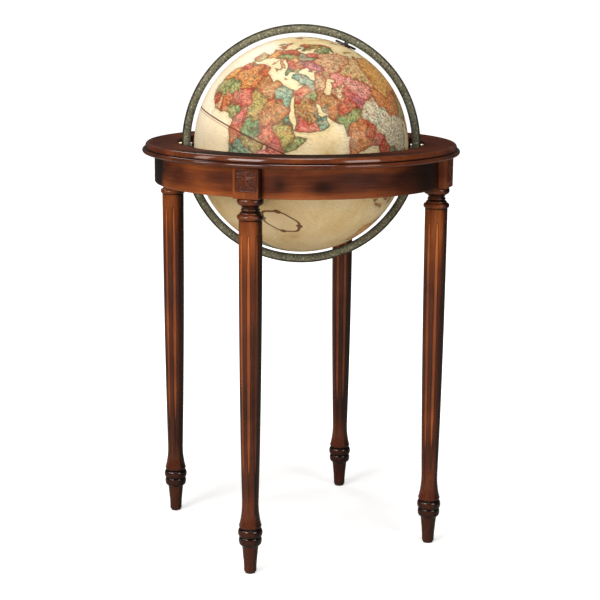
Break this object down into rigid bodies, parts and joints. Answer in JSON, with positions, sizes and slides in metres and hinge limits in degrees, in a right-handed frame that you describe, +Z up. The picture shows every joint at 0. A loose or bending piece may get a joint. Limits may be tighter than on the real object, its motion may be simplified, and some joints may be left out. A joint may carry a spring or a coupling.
{
  "type": "floor-standing terrestrial globe",
  "caption": "Floor-standing map globe: ball spinning in a full meridian ring that swings inside a round wooden horizon ring with apron, corner blocks and turned fluted legs.",
  "frame": {"origin": "on the floor, under the centre of the ball: the centre of the bounding box's bottom face", "axes": "+Z up; +X along the two horizontal pivots of the meridian ring, towards the side that the north pole leans to; +Y away from the viewer in the picture, so the meridian ring lies in the XZ plane at rest"},
  "size_m": [0.6019, 0.602, 0.9875],
  "materials": {
    "wood_ring": "burnished red walnut, glossy lacquer",
    "wood_apron": "burnished red walnut, satin-gloss lacquer",
    "wood_carved": "carved walnut with dark glaze in the hollows",
    "wood_leg": "turned walnut, burnished and lacquered, dark in the beads",
    "dowel_wood": "plain beech",
    "antique_pewter": "die-cast ring in antiqued pewter, pale wiped relief on a dark olive ground",
    "dial_bronze": "dark antique bronze",
    "globe_map": "printed map in antique colours under a satin varnish",
    "board": "raw pressed board",
    "zinc_steel": "zinc plated",
    "brass": "satin",
    "glide_nylon": "moulded nylon"
  },
  "bodies": {
    "stand": {"horizon_ring": "wood_ring", "apron_front_right": "wood_apron", "apron_back_right": "wood_apron", "apron_back_left": "wood_apron", "apron_front_left": "wood_apron", "corner_block_front": "wood_apron", "corner_block_right": "wood_apron", "corner_block_back": "wood_apron", "corner_block_left": "wood_apron", "carved_plaque_front": "wood_carved", "carved_plaque_right": "wood_carved", "carved_plaque_back": "wood_carved", "carved_plaque_left": "wood_carved", "leg_front": "wood_leg", "leg_right": "wood_leg", "leg_back": "wood_leg", "leg_left": "wood_leg", "foot_glides": "glide_nylon", "leg_bolts": "zinc_steel", "leg_inserts": "brass", "apron_dowels": "dowel_wood", "rim_screws": "zinc_steel", "pivot_inserts": "brass", "pivot_washers": "brass", "pivot_screw_left": "zinc_steel", "pivot_screw_right": "zinc_steel"},
    "meridian": {"meridian_ring": "antique_pewter", "north_pin": "zinc_steel", "south_pin": "zinc_steel", "north_nut": "zinc_steel", "south_nut": "zinc_steel"},
    "globe": {"north_shell": "globe_map", "south_shell": "globe_map", "seam_band": "board", "north_bush": "brass", "south_bush": "brass"},
    "time_dial": {"time_dial": "dial_bronze"}
  },
  "joints": [
    {"name": "meridian_swing", "type": "hinge", "parent": "stand", "child": "meridian", "pos_m": [0, 0, 0.761], "axis": [1, 0, 0], "continuous": true},
    {"name": "globe_spin", "type": "hinge", "parent": "meridian", "child": "globe", "pos_m": [0, 0, 0.761], "axis": [0.3987, 0, 0.9171], "continuous": true},
    {"name": "dial_turn", "type": "hinge", "parent": "meridian", "child": "time_dial", "pos_m": [0, 0, 0.761], "axis": [0.3987, 0, 0.9171], "continuous": true}
  ]
}
